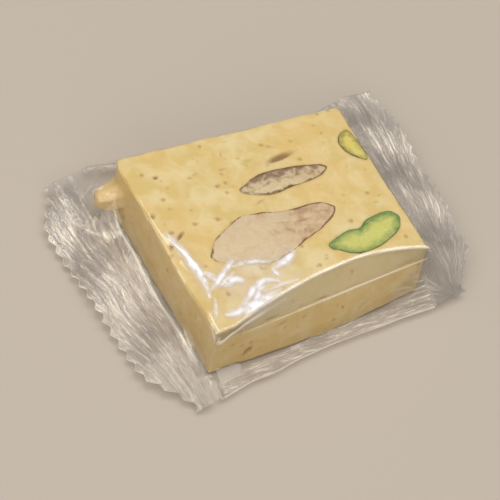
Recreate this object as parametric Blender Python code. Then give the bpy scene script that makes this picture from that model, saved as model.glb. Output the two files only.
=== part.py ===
"""Block of nougat sealed in clear film, modelled as one solid.

The nougat is a low slab, a little wider at its left end, with a soft shoulder
along the top front edge. A tube of clear film is drawn round it. The tube is
pinched flat at both ends, heat sealed with a ribbed crimp and cut off with a
zigzag knife. Loose film stands out as a low fold along the front and the back.

The solid is the outer form of the pack. It is a loft along X through unlike
sections: the wrapped block in the middle, a flat crimp at each end, and film
between the two that drops close down the end of the block before it runs out
to the crimp.

Units are metres. X runs along the tube, -Y is the front and +Z is up. The
origin lies under the middle of the block, on its flat underside.
"""
import bmesh
import bpy
import numpy as np

MM = 0.001

# The wrapped block
BLOCK_LENGTH = 40.4 * MM
BLOCK_HEIGHT = 10.2 * MM
WIDTH_LEFT = 35.9 * MM
WIDTH_RIGHT = 31.1 * MM
RIGHT_END_SKEW = 0.029
TOP_EDGE_RADIUS = 0.9 * MM

# The sloping shoulder between the top and the front face
SHOULDER_CENTRE = 5.5 * MM
SHOULDER_LEFT_REACH = 22.0 * MM
SHOULDER_RIGHT_REACH = 14.4 * MM
SHOULDER_DEPTH = 3.2 * MM
SHOULDER_DROP = 2.6 * MM
CORNER_DEPTH = 0.3 * MM

# The worn stretch of the top edge at the left end, towards the front
WORN_CENTRE = -6.5 * MM
WORN_REACH = 9.5 * MM
WORN_DEPTH = 3.3 * MM
WORN_DROP = 1.0 * MM

# The foot of the front face, which stands out past its top
FOOT_LEAN = 0.8 * MM

# The loose folds of film along the front and the back
FOLD_HEIGHT = 1.05 * MM
FOLD_REACH_MIDDLE = 4.4 * MM
FOLD_REACH_ENDS = 5.6 * MM
FOLD_START_HEIGHT = 3.0 * MM
FLOOR_EDGE_INSET = 0.6 * MM

# The crimped end seals: each value is given for the left, then for the right.
# The slant moves the whole seal outwards for each metre towards the back. The
# cling is how closely the film follows the end of the block: 1 is a straight line.
SEAL_START = (5.0 * MM, 5.2 * MM)
SEAL_WIDTH = (6.0 * MM, 6.4 * MM)
SEAL_SLANT = (0.07, 0.08)
SEAL_FRONT = (-24.0 * MM, -20.2 * MM)
SEAL_BACK = (21.8 * MM, 21.2 * MM)
SEAL_HEIGHT = (1.9 * MM, 3.9 * MM)
SEAL_DROOP = (0.5 * MM, 0.9 * MM)
SEAL_TIP_DROP = (0.3 * MM, 1.6 * MM)
SEAL_WAVE = (0.35 * MM, 0.45 * MM)
SEAL_WAVE_LENGTH = (17.0 * MM, 14.0 * MM)
FRONT_CORNER_CUT = (5.0 * MM, 4.4 * MM)
FRONT_CUT_LENGTH = (9.0 * MM, 8.0 * MM)
BACK_CORNER_CUT = (4.4 * MM, 1.6 * MM)
BACK_CUT_LENGTH = (9.0 * MM, 6.0 * MM)
SEAL_THICKNESS = 0.5 * MM
RIB_HEIGHT = 0.14 * MM
TOOTH_DEPTH = 0.45 * MM
CLING = (2.3, 1.5)
CLING_START = (0.10, 0.10)
CLING_END = (0.80, 0.90)
PLEAT_DEPTH = 0.3 * MM
PLEATS = 13

# Points across the film: fold, face, shoulder, top, edge, face, fold
TOP_INTERVALS = (4, 4, 3, 54, 3, 4, 4)
FLOOR_INTERVALS = (11, 54, 11)

# Places along X: shares of half the block, of the sloping film, of the crimp
BLOCK_STATIONS = (-1.0, -0.955, -0.84, -0.6, -0.3, 0.0, 0.3, 0.6, 0.84, 0.955, 1.0)
SLOPE_STATIONS = (0.14, 0.28, 0.44, 0.62, 0.8)
CRIMP_STATIONS = (0.0, 0.26, 0.34, 0.42, 0.5, 0.58, 0.66, 0.74, 0.82, 1.0)
RIBS_START = 0.3
RIBS_END = 0.9
RIB_SPACING = 0.16


def smooth_step(low, high, value):
    """0 below low, 1 above high, and an S curve between them."""
    share = np.clip((value - low) / (high - low), 0.0, 1.0)
    return share * share * (3.0 - 2.0 * share)


def arch(value, centre, reach):
    """1 at the centre, falling on a parabola to 0 at the reach on each side."""
    return np.clip(1.0 - ((value - centre) / reach) ** 2, 0.0, 1.0)


def section_path(corners, intervals):
    """Points evenly along the straight runs between corners (y, z)."""
    runs = []
    for (start, end, count) in zip(corners[:-1], corners[1:], intervals):
        shares = np.arange(count) / count
        runs.append(start + (end - start) * shares[:, None])
    runs.append(corners[-1][None, :])
    return np.concatenate(runs)


def block_section(share):
    """Top and floor film round the block, at a share of its half length."""
    x = share * BLOCK_LENGTH / 2
    width = WIDTH_LEFT + (WIDTH_RIGHT - WIDTH_LEFT) * (share + 1) / 2
    front = -width / 2
    back = width / 2
    fold = FOLD_REACH_MIDDLE + (FOLD_REACH_ENDS - FOLD_REACH_MIDDLE) * share ** 2
    reach = SHOULDER_LEFT_REACH if x < SHOULDER_CENTRE else SHOULDER_RIGHT_REACH
    slope = CORNER_DEPTH + SHOULDER_DEPTH * arch(x, SHOULDER_CENTRE, reach)
    half_seal = SEAL_THICKNESS / 2
    top_corners = np.array([
        (front - fold, FOLD_HEIGHT + half_seal),
        (front - FOOT_LEAN, FOLD_START_HEIGHT),
        (front, BLOCK_HEIGHT - SHOULDER_DROP),
        (front + slope, BLOCK_HEIGHT),
        (back - TOP_EDGE_RADIUS, BLOCK_HEIGHT),
        (back, BLOCK_HEIGHT - TOP_EDGE_RADIUS),
        (back, FOLD_START_HEIGHT),
        (back + fold, FOLD_HEIGHT + half_seal),
    ])
    floor_corners = np.array([
        (front - fold, FOLD_HEIGHT - half_seal),
        (front - FOOT_LEAN + FLOOR_EDGE_INSET, 0.0),
        (back - FLOOR_EDGE_INSET, 0.0),
        (back + fold, FOLD_HEIGHT - half_seal),
    ])
    top = section_path(top_corners, TOP_INTERVALS)
    floor = section_path(floor_corners, FLOOR_INTERVALS)

    from_end = BLOCK_LENGTH / 2 - abs(x)
    edge = np.clip(1.0 - from_end / TOP_EDGE_RADIUS, 0.0, 1.0)
    lowered = TOP_EDGE_RADIUS * (1.0 - np.sqrt(1.0 - edge ** 2)) * np.ones(len(top))
    if share < 0:
        worn = arch(top[:, 0], WORN_CENTRE, WORN_REACH) ** 1.5
        depth = np.maximum(WORN_DEPTH * worn, TOP_EDGE_RADIUS)
        lowered += WORN_DROP * worn * np.clip(1.0 - from_end / depth, 0.0, 1.0)
    top[:, 1] = np.minimum(top[:, 1], BLOCK_HEIGHT - lowered)

    sections = []
    for points in (top, floor):
        x_places = x + max(share, 0.0) * RIGHT_END_SKEW * points[:, 0]
        sections.append(np.column_stack([x_places, points]))
    return sections


def crimp_section(side, share):
    """Top and floor film of a crimp, at a share of its width from the inside."""
    direction = (-1, 1)[side]
    count = sum(TOP_INTERVALS) + 1
    y = np.linspace(SEAL_FRONT[side], SEAL_BACK[side], count)
    front_corner = 1.0 - smooth_step(0.0, FRONT_CUT_LENGTH[side], y - SEAL_FRONT[side])
    back_corner = 1.0 - smooth_step(0.0, BACK_CUT_LENGTH[side], SEAL_BACK[side] - y)
    reach = (SEAL_WIDTH[side] - FRONT_CORNER_CUT[side] * front_corner
             - BACK_CORNER_CUT[side] * back_corner)
    tooth = np.array([1.0, 0.0, -1.0, 0.0])[np.arange(count) % 4]
    distance = SEAL_START[side] + SEAL_SLANT[side] * y + reach * share
    if share == 1.0:
        distance = distance + TOOTH_DEPTH * tooth
    x = direction * (BLOCK_LENGTH / 2 + distance)

    wave = np.sin(2 * np.pi * y / SEAL_WAVE_LENGTH[side] + 2.0 * share + side)
    z = (SEAL_HEIGHT[side] - SEAL_DROOP[side] * share
         - SEAL_TIP_DROP[side] * front_corner + SEAL_WAVE[side] * wave)
    if RIBS_START < share < RIBS_END:
        z = z + RIB_HEIGHT * np.cos(2 * np.pi * (share - 0.34) / RIB_SPACING)
    half_seal = SEAL_THICKNESS / 2
    return [np.column_stack([x, y, z + half_seal]), np.column_stack([x, y, z - half_seal])]


def slope_section(side, share):
    """Film on its way from the block's end, share 0, to the crimp, share 1.

    The top film falls first and runs outwards later: outwards it has gone
    share ** cling of the way, and downwards 1 - (1 - share) ** cling.
    """
    block_end = block_section((-1.0, 1.0)[side])
    seal = crimp_section(side, 0.0)
    across = np.linspace(0.0, 1.0, sum(TOP_INTERVALS) + 1)
    pleat = np.sin(np.pi * share) * np.sin(2 * np.pi * PLEATS * across)
    pleat = PLEAT_DEPTH * pleat * np.sin(np.pi * across)
    clings = smooth_step(0.0, CLING_START[side], across)
    clings = clings * (1.0 - smooth_step(CLING_END[side] - 0.12, CLING_END[side], across))
    cling = 1.0 + (CLING[side] - 1.0) * clings
    top_shares = np.column_stack([share ** cling, share ** cling, 1.0 - (1.0 - share) ** cling])
    sections = []
    for (start, end, shares) in zip(block_end, seal, (top_shares, share)):
        points = start + (end - start) * shares
        points[:, 2] += pleat
        sections.append(points)
    return sections


def pack_sections():
    """All sections from the left cut edge to the right one."""
    sections = [crimp_section(0, share) for share in reversed(CRIMP_STATIONS)]
    sections += [slope_section(0, share) for share in reversed(SLOPE_STATIONS)]
    sections += [block_section(share) for share in BLOCK_STATIONS]
    sections += [slope_section(1, share) for share in SLOPE_STATIONS]
    sections += [crimp_section(1, share) for share in CRIMP_STATIONS]
    return sections


def loft(name, sections):
    """A closed mesh through rings of top film, front to back, then floor film."""
    model = bmesh.new()
    rings = []
    for (top, floor) in sections:
        ring = np.concatenate([top, floor[::-1]])
        rings.append([model.verts.new(point) for point in ring])
    size = len(rings[0])
    for (ring, following) in zip(rings[:-1], rings[1:]):
        for place in range(size):
            after = (place + 1) % size
            model.faces.new((ring[place], ring[after], following[after], following[place]))
    for ring in (rings[0], rings[-1]):
        for place in range(size // 2 - 1):
            opposite = size - 1 - place
            model.faces.new((ring[place], ring[place + 1], ring[opposite - 1], ring[opposite]))
    bmesh.ops.triangulate(model, faces=model.faces[:])
    bmesh.ops.recalc_face_normals(model, faces=model.faces[:])
    mesh = bpy.data.meshes.new(name)
    model.to_mesh(mesh)
    model.free()
    return mesh


def clear_film():
    """Clear film over pale golden nougat."""
    material = bpy.data.materials.new("film_over_nougat")
    material.use_nodes = True
    shader = material.node_tree.nodes["Principled BSDF"]
    shader.inputs["Base Color"].default_value = (0.73, 0.57, 0.27, 1.0)
    shader.inputs["Roughness"].default_value = 0.15
    shader.inputs["Metallic"].default_value = 0.0
    material.diffuse_color = (0.73, 0.57, 0.27, 1.0)
    return material


for old_object in list(bpy.data.objects):
    bpy.data.objects.remove(old_object, do_unlink=True)

collection = bpy.data.collections.new("wrapped_nougat")
bpy.context.scene.collection.children.link(collection)

pack_mesh = loft("nougat_pack", pack_sections())
pack_mesh.materials.append(clear_film())
pack = bpy.data.objects.new("nougat_pack", pack_mesh)
collection.objects.link(pack)
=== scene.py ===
import bmesh
import bpy
import numpy as np
from mathutils import Matrix, Vector


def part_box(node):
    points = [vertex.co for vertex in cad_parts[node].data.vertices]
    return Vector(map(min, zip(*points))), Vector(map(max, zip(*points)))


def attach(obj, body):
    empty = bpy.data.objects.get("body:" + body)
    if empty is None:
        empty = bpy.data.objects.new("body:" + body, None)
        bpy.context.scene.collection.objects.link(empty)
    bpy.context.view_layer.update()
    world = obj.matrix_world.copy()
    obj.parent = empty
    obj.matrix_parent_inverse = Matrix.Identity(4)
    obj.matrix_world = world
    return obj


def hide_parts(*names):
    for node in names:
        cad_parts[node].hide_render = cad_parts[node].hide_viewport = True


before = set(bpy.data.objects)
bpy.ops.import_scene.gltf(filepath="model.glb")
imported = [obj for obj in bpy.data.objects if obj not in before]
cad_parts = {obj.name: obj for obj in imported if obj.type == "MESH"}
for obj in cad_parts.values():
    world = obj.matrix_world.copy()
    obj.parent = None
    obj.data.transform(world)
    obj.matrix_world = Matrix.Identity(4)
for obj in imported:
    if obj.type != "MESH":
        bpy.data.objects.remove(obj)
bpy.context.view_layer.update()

pack_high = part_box("nougat_pack")[1]
mm = 0.001


# The slab
# A block cut with a knife from a sheet of set nougat: pale gold, matt and a little
# uneven, wider at its left end, with a soft shoulder along the top front edge and
# small pits where air or a crumb of nut has come away.
film_gap = 0.16 * mm
wrapped_length = 40.4 * mm
half_length = wrapped_length / 2
wrapped_height = pack_high.z
slab_floor = film_gap
slab_top = wrapped_height - film_gap
width_left = 35.9 * mm
width_right = 31.1 * mm
right_end_skew = 0.029
shoulder_centre = 5.5 * mm
shoulder_left_reach = 22.0 * mm
shoulder_right_reach = 14.4 * mm
shoulder_depth = 3.2 * mm
shoulder_drop = 2.6 * mm
shoulder_corner = 0.3 * mm
shoulder_blend = 0.07 * mm
worn_centre = -6.5 * mm
worn_reach = 9.5 * mm
worn_depth = 3.3 * mm
worn_drop = 1.0 * mm
foot_lean_ends = 0.8 * mm
foot_bulge = 1.3 * mm
foot_bulge_centre = 3.0 * mm
foot_bulge_reach = 23.0 * mm
foot_top = 3.0 * mm
corner_round = 3.0 * mm
corner_round_heights = (2.0 * mm, 7.0 * mm)
slab_edge = 0.6 * mm
slab_step = 0.21 * mm
slab_step_up = 0.4 * mm


def clamped(value):
    """The value, kept between 0 and 1."""
    return np.clip(value, 0.0, 1.0)


def s_curve(low, high, value):
    """0 below low, 1 above high, and a smooth S between them."""
    share = clamped((value - low) / (high - low))
    return share * share * (3.0 - 2.0 * share)


def fade(low, high, value):
    """1 below low, 0 above high, and the same S between them."""
    return 1.0 - s_curve(low, high, value)


def bell(offset, reach):
    """A bell curve: 1 at no offset, falling to 1 / e at the reach."""
    return np.exp(-(offset / reach) ** 2)


def arch(value, centre, reach):
    """1 at the centre, falling on a parabola to 0 at the reach on each side."""
    return clamped(1.0 - ((value - centre) / reach) ** 2)


def soft_hills(places, grain, seed):
    """Random hills from 0 to 1: random numbers on a cubic lattice, one grain apart,
    blended between the eight nearest with an S curve."""
    size = 40
    lattice = np.random.default_rng(seed).random((size, size, size))
    cell = places / grain
    low = np.floor(cell).astype(int)
    share = cell - low
    share = share * share * (3.0 - 2.0 * share)
    total = np.zeros(places.shape[:-1])
    for corner in np.ndindex(2, 2, 2):
        weight = np.prod(np.where(corner, share, 1.0 - share), axis=-1)
        index = (low + corner) % size
        total += weight * lattice[index[..., 0], index[..., 1], index[..., 2]]
    return total


def width_at(x):
    """The block tapers evenly from its left end to its right end."""
    share = x / wrapped_length + 0.5
    return width_left + (width_right - width_left) * share


def shoulder_slope(x):
    """How far back the shoulder starts: a lopsided parabola along the front edge."""
    reach = np.where(x < shoulder_centre, shoulder_left_reach, shoulder_right_reach)
    return shoulder_corner + shoulder_depth * arch(x, shoulder_centre, reach)


def foot_lean(x, z):
    """How far the front face stands out: nothing at the shoulder's foot and most at
    the floor, and there a low bell along the face."""
    most = foot_lean_ends + foot_bulge * arch(x, foot_bulge_centre, foot_bulge_reach) ** 1.7
    return most * clamped(1.0 - z / (wrapped_height - shoulder_drop)) ** 0.8


def worn_away(y, from_left, least):
    """How far the worn left edge lies below the top: a wedge, deepest at the end and in
    the middle of the worn part, that reaches in by the least distance or more."""
    local_strength = arch(y, worn_centre, worn_reach) ** 1.5
    return worn_drop * local_strength * clamped(1.0 - from_left / np.maximum(worn_depth * local_strength, least))


def edge_line(half, radius, step):
    """Places from -half to half: even steps in the middle, and tangents of even
    angles at the ends, so that the rounding there gets even steps too."""
    turns = np.tan(np.linspace(0.0, np.pi / 4, 4)) * radius
    count = int(np.ceil(2 * (half - radius) / step))
    middle = np.linspace(-half + radius, half - radius, count + 1)
    return np.concatenate([-(half - radius) - turns[:0:-1], middle, half - radius + turns[1:]])


def rounded_box(half, radius, steps):
    """A box as six grids. A point of the sharp box is drawn to the nearest point of
    a box that is smaller by the radius, and set one radius away from it."""
    lines = [edge_line(half[axis], radius, steps[axis]) for axis in range(3)]
    places, faces, start = [], [], 0
    for axis in range(3):
        across, along = (axis + 1) % 3, (axis + 2) % 3
        for side in (-1, 1):
            a, b = np.meshgrid(lines[across], lines[along], indexing="ij")
            sheet = np.empty(a.shape + (3,))
            sheet[..., axis] = side * half[axis]
            sheet[..., across] = a
            sheet[..., along] = b
            places.append(sheet.reshape(-1, 3))
            index = np.arange(a.size).reshape(a.shape) + start
            quads = np.stack([index[:-1, :-1], index[1:, :-1], index[1:, 1:], index[:-1, 1:]], -1)
            quads = quads.reshape(-1, 4)
            faces.append(quads if side > 0 else quads[:, ::-1])
            start += a.size
    sharp = np.concatenate(places)
    inner = np.clip(sharp, -(half - radius), half - radius)
    outward = sharp - inner
    outward /= np.linalg.norm(outward, axis=1)[:, None]
    return inner + radius * outward, outward, np.concatenate(faces)


def new_piece(name, places, faces, colours=None):
    """A smooth mesh object at the origin, with one number a point for each mask."""
    mesh = bpy.data.meshes.new(name)
    mesh.from_pydata(places.tolist(), [], faces.tolist())
    for (mask, values) in (colours or {}).items():
        layer = mesh.attributes.new(mask, "FLOAT", "POINT")
        layer.data.foreach_set("value", values.astype(np.float32))
    worker = bmesh.new()
    worker.from_mesh(mesh)
    bmesh.ops.remove_doubles(worker, verts=worker.verts[:], dist=0.002 * mm)
    bmesh.ops.recalc_face_normals(worker, faces=worker.faces[:])
    worker.to_mesh(mesh)
    worker.free()
    mesh.shade_smooth()
    piece = bpy.data.objects.new(name, mesh)
    bpy.context.scene.collection.objects.link(piece)
    return piece


# Where the nuts are cut
# The knife cuts through almonds and pistachios with the nougat, so they lie flush in
# its faces. An outline holds millimetres: x and y on the top and the underside, and
# the way along the face and up on an upright face.
outline_points = 120
pocket_depth = 1.3 * mm
pocket_rim = 0.35 * mm


def teardrop(centre, length, width, turn):
    """A nut's outline: an ellipse whose width grows towards one end."""
    angle = np.linspace(0.0, 2 * np.pi, 12, endpoint=False)
    along = length / 2 * np.cos(angle)
    across = width / 2 * np.sin(angle) * (1.0 - 0.35 * np.cos(angle))
    lean = np.radians(turn)
    points = np.column_stack([along * np.cos(lean) - across * np.sin(lean),
                              along * np.sin(lean) + across * np.cos(lean)])
    return points + np.array(centre)


cut_nuts = {
    "almond_large": ("top", [(-13.6, -4.6), (-12.3, -2.6), (-9.2, -0.7), (-6.0, 0.4), (-2.4, 0.0),
                             (0.4, -0.8), (3.6, -1.0), (6.7, -1.2), (8.5, -2.2), (8.3, -3.8),
                             (5.6, -5.4), (2.2, -6.6), (-1.6, -7.9), (-5.6, -8.7), (-9.2, -7.5),
                             (-12.4, -6.4)]),
    "almond_dark": ("top", [(-3.5, 5.0), (-1.5, 6.2), (1.0, 7.0), (4.0, 6.9), (7.2, 6.5),
                            (10.2, 5.8), (11.9, 4.9), (10.6, 3.7), (7.6, 3.2), (4.4, 3.1),
                            (1.4, 2.8), (-1.4, 3.6)]),
    "pistachio_green": ("top", [(4.5, -9.2), (6.8, -8.2), (8.9, -7.7), (10.9, -7.9), (12.7, -6.9),
                                (15.6, -6.5), (17.4, -6.9), (18.0, -8.3), (16.8, -10.2),
                                (14.2, -11.5), (11.0, -12.2), (8.1, -12.0), (6.1, -10.8)]),
    "pistachio_corner": ("top", [(16.5, 7.7), (16.9, 9.2), (18.2, 10.2), (19.4, 10.1), (19.75, 7.6),
                                 (19.7, 4.8), (19.2, 3.9), (18.2, 4.6), (17.1, 5.9)]),
    "almond_under": ("under", teardrop((-6.0, 4.0), 17.0, 8.0, 24.0)),
    "almond_under_small": ("under", teardrop((9.5, -8.5), 10.0, 3.6, -15.0)),
    "pistachio_under": ("under", teardrop((8.0, 8.0), 9.0, 4.6, 70.0)),
    "almond_back": ("back", teardrop((-6.0, 5.2), 14.0, 4.2, 4.0)),
    "pistachio_back": ("back", teardrop((9.0, 4.6), 7.0, 3.6, -12.0)),
    "pistachio_right": ("right", teardrop((-5.5, 5.0), 8.0, 3.8, 10.0)),
}
face_normals = {"top": (0, 0, 1), "under": (0, 0, -1), "front": (0, -1, 0), "back": (0, 1, 0),
                "left": (-1, 0, 0), "right": (1, 0, 0)}
face_axes = {face: [axis for axis in range(3) if not normal[axis]]
             for (face, normal) in face_normals.items()}


def smooth_outline(corners, count):
    """A closed curve through the corners: each stretch is the cubic that its own two
    corners and their neighbours give."""
    corners = np.array(corners, float) * mm
    turn = np.arange(count) / count * len(corners)
    start = np.floor(turn).astype(int)
    share = (turn - start)[:, None]
    before, here, after, beyond = (corners[(start + step) % len(corners)] for step in (-1, 0, 1, 2))
    return 0.5 * (2 * here + (after - before) * share
                  + (2 * before - 5 * here + 4 * after - beyond) * share ** 2
                  + (3 * here - before - 3 * after + beyond) * share ** 3)


def distance_to(places, start, end):
    """Distance to the nearest of some straight lines: the offset from a line's start,
    less its part along the line."""
    run = end - start
    offset = places[:, None, :] - start
    share = clamped((offset * run).sum(-1) / (run ** 2).sum(-1))
    return np.linalg.norm(offset - share[..., None] * run, axis=-1).min(axis=1)


def depth_inside(places, outline):
    """Distance to the nearest side of a closed outline, above 0 inside it. A place is
    inside where a line to one side of it crosses the outline an odd number of times."""
    start, end = outline, np.roll(outline, -1, axis=0)
    gap = distance_to(places, start, end)
    run = end - start
    above = start[:, 1] > places[:, 1:2]
    crosses = above != (end[:, 1] > places[:, 1:2])
    rise = np.where(run[:, 1] == 0.0, 1.0, run[:, 1])
    at = start[:, 0] + run[:, 0] * (places[:, 1:2] - start[:, 1]) / rise
    inside = (crosses & (places[:, 0:1] < at)).sum(axis=1) % 2 == 1
    return np.where(inside, gap, -gap)


def face_plane(face, along, up, depth):
    """The point of a face at two measures along it, and a depth below it."""
    if face == "top":
        return np.stack([along, up, slab_top - depth], -1)
    if face == "under":
        return np.stack([along, up, slab_floor + depth], -1)
    if face == "back":
        return np.stack([along, width_at(along) / 2 - film_gap - depth, up], -1)
    x = half_length - film_gap + right_end_skew * along
    return np.stack([x - depth, along, up], -1)


# The slab's mesh
# The sharp block is rounded and tapered, the shoulder and the worn edge are planed
# off it, and nut pockets, pits and a fine uneven crumb are pressed into its faces.
lump_reach = 3.5 * mm
# Where the S curves that bound the lump start and end, along the end and up it
lump_front, lump_back = (12.4 * mm, 13.5 * mm), (16.2 * mm, 17.3 * mm)
lump_foot, lump_top = (3.2 * mm, 4.5 * mm), (6.5 * mm, 7.6 * mm)
lump_ragged = 0.8 * mm
# On the top: x, y, half length, half width and depth in millimetres, turn in degrees
chosen_pits = [
    (-15.0, 12.1, 0.34, 0.28, 0.7, 0), (-6.5, 7.3, 0.5, 0.28, 0.32, 10),
    (-16.6, 0.6, 0.95, 0.26, 0.55, 34), (-18.5, -0.4, 0.95, 0.3, 0.5, 52),
    (-17.6, 1.6, 0.4, 0.3, 0.35, 0), (-4.3, 10.0, 0.6, 0.2, 0.2, 5), (5.9, 9.1, 2.3, 0.5, 0.62, 6),
    (4.2, 12.3, 0.4, 0.25, 0.3, 0), (5.2, 11.6, 0.5, 0.2, 0.25, -30), (-18.9, 5.4, 0.5, 0.35, 0.4, 60),
    (-9.5, 1.6, 0.7, 0.18, 0.2, -30), (-1.6, 2.2, 1.0, 0.2, 0.22, 15), (-12.7, 4.4, 0.25, 0.2, 0.25, 0),
    (-14.2, 9.6, 0.3, 0.16, 0.2, 20), (-8.9, 10.6, 0.55, 0.16, 0.16, 12),
    (2.9, -11.2, 0.35, 0.2, 0.22, 40), (11.8, -1.2, 0.3, 0.2, 0.16, 0), (-3.0, 12.8, 0.5, 0.2, 0.16, 70),
]
# Crumbs of pistachio that stain the top: the same, with a strength for the depth
green_crumbs = [(0.4, 10.1, 0.9, 0.42, 1.0, 5), (-7.4, 12.6, 0.4, 0.25, 0.6, 30)]
# On the front: x and z
front_pits = [(-13.2, 2.5, 0.75, 0.4, 0.7, 40), (-7.5, 6.0, 0.8, 0.3, 0.2, 10),
              (8.0, 3.0, 1.2, 0.25, 0.15, 20)]
# Stray pits: their number on a large face and on a small one, their half lengths and
# the share of it that is their width, and their least depth and what chance adds
stray_large, stray_small = 42, 7
stray_lengths, stray_widths = (0.14, 0.42), (0.35, 1.0)
stray_depth, stray_deeper = 0.03, 0.36
# Each face's chosen pits, and its stray ones' half reach along it, reach up it and seed
pitted_faces = [
    ("top", chosen_pits, (19, -16, 16), 3), ("front", front_pits, (18, 1, 8), 4),
    ("under", [], (19, -16, 16), 5), ("back", [], (18, 1, 9), 6),
    ("left", [], (16, 1, 8), 7), ("right", [], (14, 1, 9), 8),
]
# Hills all over the slab: height, grain and seed of each size
face_hills = [(0.12 * mm, 3.1 * mm, 11), (0.07 * mm, 0.95 * mm, 12), (0.05 * mm, 0.5 * mm, 16)]
torn_depth = 0.35 * mm
knife_drag = 0.10 * mm
nut_edge_reach = 0.35 * mm
nut_edge_depth = 0.06 * mm


def pit_field(measures, pits):
    """Depth of oval dents: each falls from its middle as a bell curve."""
    total = np.zeros(len(measures))
    for (first, second, length, width, depth, turn) in pits:
        lean = np.radians(turn)
        offset = measures / mm - (first, second)
        along = (offset[:, 0] * np.cos(lean) + offset[:, 1] * np.sin(lean)) / length
        across = (offset[:, 1] * np.cos(lean) - offset[:, 0] * np.sin(lean)) / width
        total = np.maximum(total, depth * np.exp(-(along ** 2 + across ** 2) ** 1.4))
    return total


def random_pits(count, reach, seed):
    """Small dents of random place, size and turn. The reach is half the way along the
    face, and from where to where up it."""
    draw = np.random.default_rng(seed)
    first = draw.uniform(-reach[0], reach[0], count)
    second = draw.uniform(reach[1], reach[2], count)
    length = draw.uniform(*stray_lengths, count)
    width = length * draw.uniform(*stray_widths, count)
    depth = stray_depth + stray_deeper * draw.random(count) ** 2
    turn = draw.uniform(0.0, 180.0, count)
    return list(zip(first, second, length, width, depth, turn))


def lump_at(places):
    """A crumb that stands out of the left end: four S curves bound it at its front,
    its back, its foot and its top, and a coarse noise makes them ragged."""
    ragged = lump_ragged * soft_hills(places, 1.2 * mm, 14)
    y, z = places[..., 1] + ragged, places[..., 2] + ragged
    return s_curve(*lump_front, y) * fade(*lump_back, y) * s_curve(*lump_foot, z) * fade(*lump_top, z)


mean_width = (width_left + width_right) / 2
slab_half = np.array([half_length - film_gap, mean_width / 2 - film_gap,
                      (slab_top - slab_floor) / 2])
places, outward, slab_faces = rounded_box(slab_half, slab_edge, (slab_step, slab_step, slab_step_up))
facing = {face: outward @ np.array(normal) > 0.99 for (face, normal) in face_normals.items()}
# Columns of the places, so that a change to one of them moves the points
x, y, z = places.T
z += (slab_top + slab_floor) / 2
y *= width_at(x) / mean_width
x += right_end_skew * y * clamped(x / slab_half[0])
y -= foot_lean(x, z) * clamped(-y / slab_half[1])

slope = shoulder_slope(x)
front_line = film_gap - width_at(x) / 2
planed = slab_top - shoulder_drop * np.minimum((front_line + slope - y) / slope, 1.0)
above_plane = z - planed
planed_off = np.clip(above_plane, 0.0, None)
z[:] = 0.5 * (z + planed - np.sqrt(above_plane ** 2 + shoulder_blend ** 2))
worn_off = worn_away(y, x + half_length, slab_edge)
z -= worn_off * s_curve(0.5 * wrapped_height, wrapped_height, z)
corner_x, corner_y = corner_round - half_length, width_left / 2 - corner_round
off_x, off_y = x - corner_x, y - corner_y
beyond = np.hypot(off_x, off_y)
pulled = (off_x < 0) & (off_y > 0) & (beyond > corner_round - film_gap)
keep = np.where(pulled, (corner_round - film_gap) / np.maximum(beyond, 1e-6), 1.0)
keep = 1.0 + (keep - 1.0) * s_curve(*corner_round_heights, z)
x[:] = corner_x + off_x * keep
y[:] = corner_y + off_y * keep
lump = lump_at(places) * (outward[:, 0] < -0.5)
x -= lump_reach * lump * (0.85 + 0.3 * soft_hills(places, 1.3 * mm, 15))

# The dents' depth is also kept as a mask that paints them darker brown the deeper they go, as painted
# shade.
dented = np.zeros(len(places))
for (face, chosen, reach, seed) in pitted_faces:
    near = facing[face]
    count = stray_large if face in ("top", "under") else stray_small
    pits = chosen + random_pits(count, reach, seed)
    dented[near] = pit_field(places[near][:, face_axes[face]], pits) * mm
relief = sum(rise * soft_hills(places, grain, seed) for (rise, grain, seed) in face_hills)
on_edge = 2.0 * (1.0 - (outward ** 2).max(axis=1))
torn = clamped(1.8 * soft_hills(places, 1.9 * mm, 17) - 0.75) * on_edge
relief += torn_depth * torn
drag = soft_hills(places * (0.12, 0.12, 1.0), 0.55 * mm, 13)
relief += knife_drag * drag * (np.abs(outward[:, 2]) < 0.5)
# Round each nut the nougat dips a little, and the same mask paints it darker there as painted shade
# between nut and nougat.
nut_dip_and_shade = np.zeros(len(places))
pockets = np.zeros(len(places))
for (name, (face, corners)) in cut_nuts.items():
    near = facing[face]
    outline = smooth_outline(corners, outline_points)
    inside = depth_inside(places[near][:, face_axes[face]], outline)
    pockets[near] = np.maximum(pockets[near], pocket_depth * s_curve(0.0, pocket_rim, inside))
    nut_dip_and_shade[near] = np.maximum(nut_dip_and_shade[near], bell(np.clip(-inside, 0, None), nut_edge_reach))
relief += nut_edge_depth * nut_dip_and_shade
places -= outward * (relief + dented + pockets)[:, None]
greened = np.zeros(len(places))
greened[facing["top"]] = pit_field(places[facing["top"]][:, :2], green_crumbs)
# The masks below also carry painted shade: the upright faces and the shoulder facet are darkened with it.
slab = new_piece("nougat_slab", places, slab_faces, {
    "greened": greened, "nut_dip_and_shade": nut_dip_and_shade, "lump": lump, "torn": torn,
    "dent_shade": clamped(dented / (0.5 * mm)), "shoulder_shade": s_curve(0.0, 0.25 * mm, planed_off),
    "upright_shade": clamped(np.hypot(outward[:, 0], outward[:, 1])),
})


# The nougat's look
# Cooked honey, sugar and egg white: gold and cream cloud into each other, and the cut
# face has a fine matt crumb. Dents are painted darker brown the deeper they go, as
# painted shade. One node group gives the clouds and the crumb to the nougat and to
# the nuts.
def srgb(red, green, blue):
    """A colour from 0 to 255 as the eye names it, in Blender's linear light."""
    shares = np.array([red, green, blue]) / 255.0
    linear = np.where(shares <= 0.04045, shares / 12.92, ((shares + 0.055) / 1.055) ** 2.4)
    return (*linear.tolist(), 1.0)


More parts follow.
